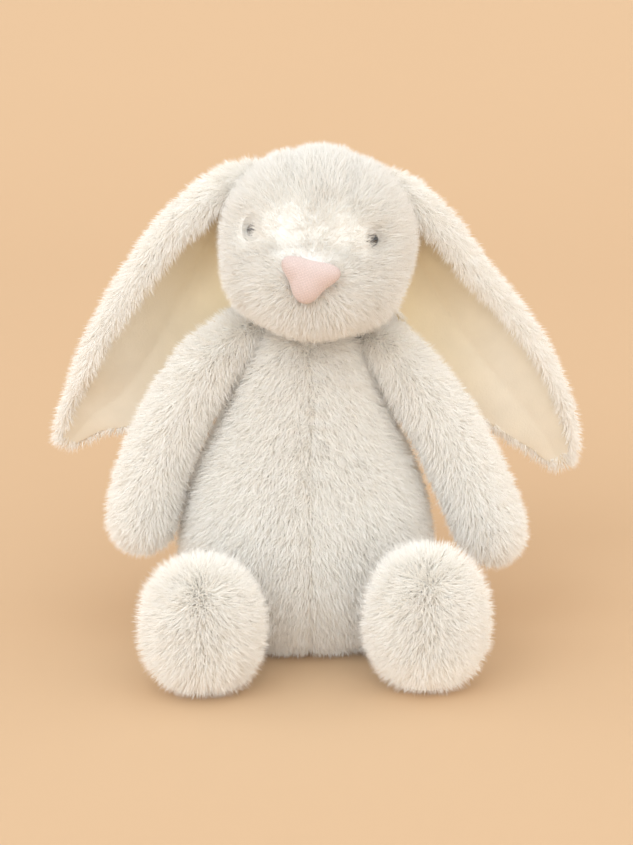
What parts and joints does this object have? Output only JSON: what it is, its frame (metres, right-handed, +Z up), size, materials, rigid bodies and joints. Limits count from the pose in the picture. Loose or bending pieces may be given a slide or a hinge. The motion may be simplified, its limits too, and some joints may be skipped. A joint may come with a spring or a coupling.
{
  "type": "stuffed rabbit toy",
  "caption": "Sitting plush rabbit with long drooping lined ears, a stuffed head, torso, arms and feet sewn from pile panels, and a bean pouch in the seat.",
  "frame": {"origin": "on the seat's flat underside, under the neck, where the toy rests", "axes": "+Z up, -Y the way the toy faces, +X to the toy's own left, along the span of its ears"},
  "size_m": [0.227, 0.1484, 0.2128],
  "materials": {
    "pile_cloth": "long soft pile",
    "lining": "short smooth pile",
    "nose_cloth": "fine woven, slightly shiny",
    "eye": "polished",
    "washer": "moulded",
    "stuffing": "loose polyester fibre",
    "pouch_cloth": "plain woven",
    "beans": "small pellets",
    "thread": "twisted thread",
    "label": "satin ribbon, blank"
  },
  "bodies": {
    "torso": {"seat_panel": "pile_cloth", "torso_panel_front_left": "pile_cloth", "torso_panel_front_right": "pile_cloth", "torso_panel_back_left": "pile_cloth", "torso_panel_back_right": "pile_cloth", "torso_stuffing": "stuffing", "bean_pouch": "pouch_cloth", "bean_fill": "beans", "tail_cover": "pile_cloth", "tail_stuffing": "stuffing", "care_label": "label", "neck_thread": "thread"},
    "neck": {"neck_cover": "pile_cloth", "neck_stuffing": "stuffing"},
    "head": {"head_gusset": "pile_cloth", "head_panel_left": "pile_cloth", "head_panel_right": "pile_cloth", "head_stuffing": "stuffing", "nose": "nose_cloth", "eye_left": "eye", "eye_right": "eye", "eye_washer_left": "washer", "eye_washer_right": "washer"},
    "ear_left": {"ear_back_left": "pile_cloth", "ear_lining_left": "lining"},
    "arm_left": {"arm_panel_outer_left": "pile_cloth", "arm_panel_inner_left": "pile_cloth", "arm_stuffing_left": "stuffing"},
    "leg_left": {"leg_panel_outer_left": "pile_cloth", "leg_panel_inner_left": "pile_cloth", "sole_left": "pile_cloth", "leg_stuffing_left": "stuffing"},
    "ear_right": {"ear_back_right": "pile_cloth", "ear_lining_right": "lining"},
    "arm_right": {"arm_panel_outer_right": "pile_cloth", "arm_panel_inner_right": "pile_cloth", "arm_stuffing_right": "stuffing"},
    "leg_right": {"leg_panel_outer_right": "pile_cloth", "leg_panel_inner_right": "pile_cloth", "sole_right": "pile_cloth", "leg_stuffing_right": "stuffing"}
  },
  "joints": [
    {"name": "neck_turn", "type": "hinge", "parent": "torso", "child": "neck", "pos_m": [-0.001, 0, 0.1416], "axis": [0, 0, 1], "range_deg": [-35, 35]},
    {"name": "neck_nod", "type": "hinge", "parent": "neck", "child": "head", "pos_m": [-0.001, 0, 0.1416], "axis": [1, 0, 0], "range_deg": [-15, 20]},
    {"name": "ear_left_lift", "type": "hinge", "parent": "head", "child": "ear_left", "pos_m": [0.039, 0.015, 0.2005], "axis": [0, -1, 0], "range_deg": [-6, 110], "stiffness_Nm_per_rad": 0.012, "springref_deg": 5.16},
    {"name": "ear_right_lift", "type": "hinge", "parent": "head", "child": "ear_right", "pos_m": [-0.039, 0.015, 0.2045], "axis": [0, 1, 0], "range_deg": [-6, 110], "stiffness_Nm_per_rad": 0.012, "springref_deg": 5.16},
    {"name": "arm_left_swing", "type": "hinge", "parent": "torso", "child": "arm_left", "pos_m": [0.032, -0.002, 0.128], "axis": [-1, 0, 0], "range_deg": [-25, 95], "stiffness_Nm_per_rad": 0.01, "springref_deg": 1.15},
    {"name": "arm_right_swing", "type": "hinge", "parent": "torso", "child": "arm_right", "pos_m": [-0.035, -0.002, 0.132], "axis": [-1, 0, 0], "range_deg": [-25, 95], "stiffness_Nm_per_rad": 0.01, "springref_deg": 1.15},
    {"name": "leg_left_lift", "type": "hinge", "parent": "torso", "child": "leg_left", "pos_m": [0.038, -0.0375, 0.0142], "axis": [-1, 0, 0], "range_deg": [0, 30]},
    {"name": "leg_right_lift", "type": "hinge", "parent": "torso", "child": "leg_right", "pos_m": [-0.0435, -0.0375, 0.0142], "axis": [-1, 0, 0], "range_deg": [0, 30]}
  ]
}
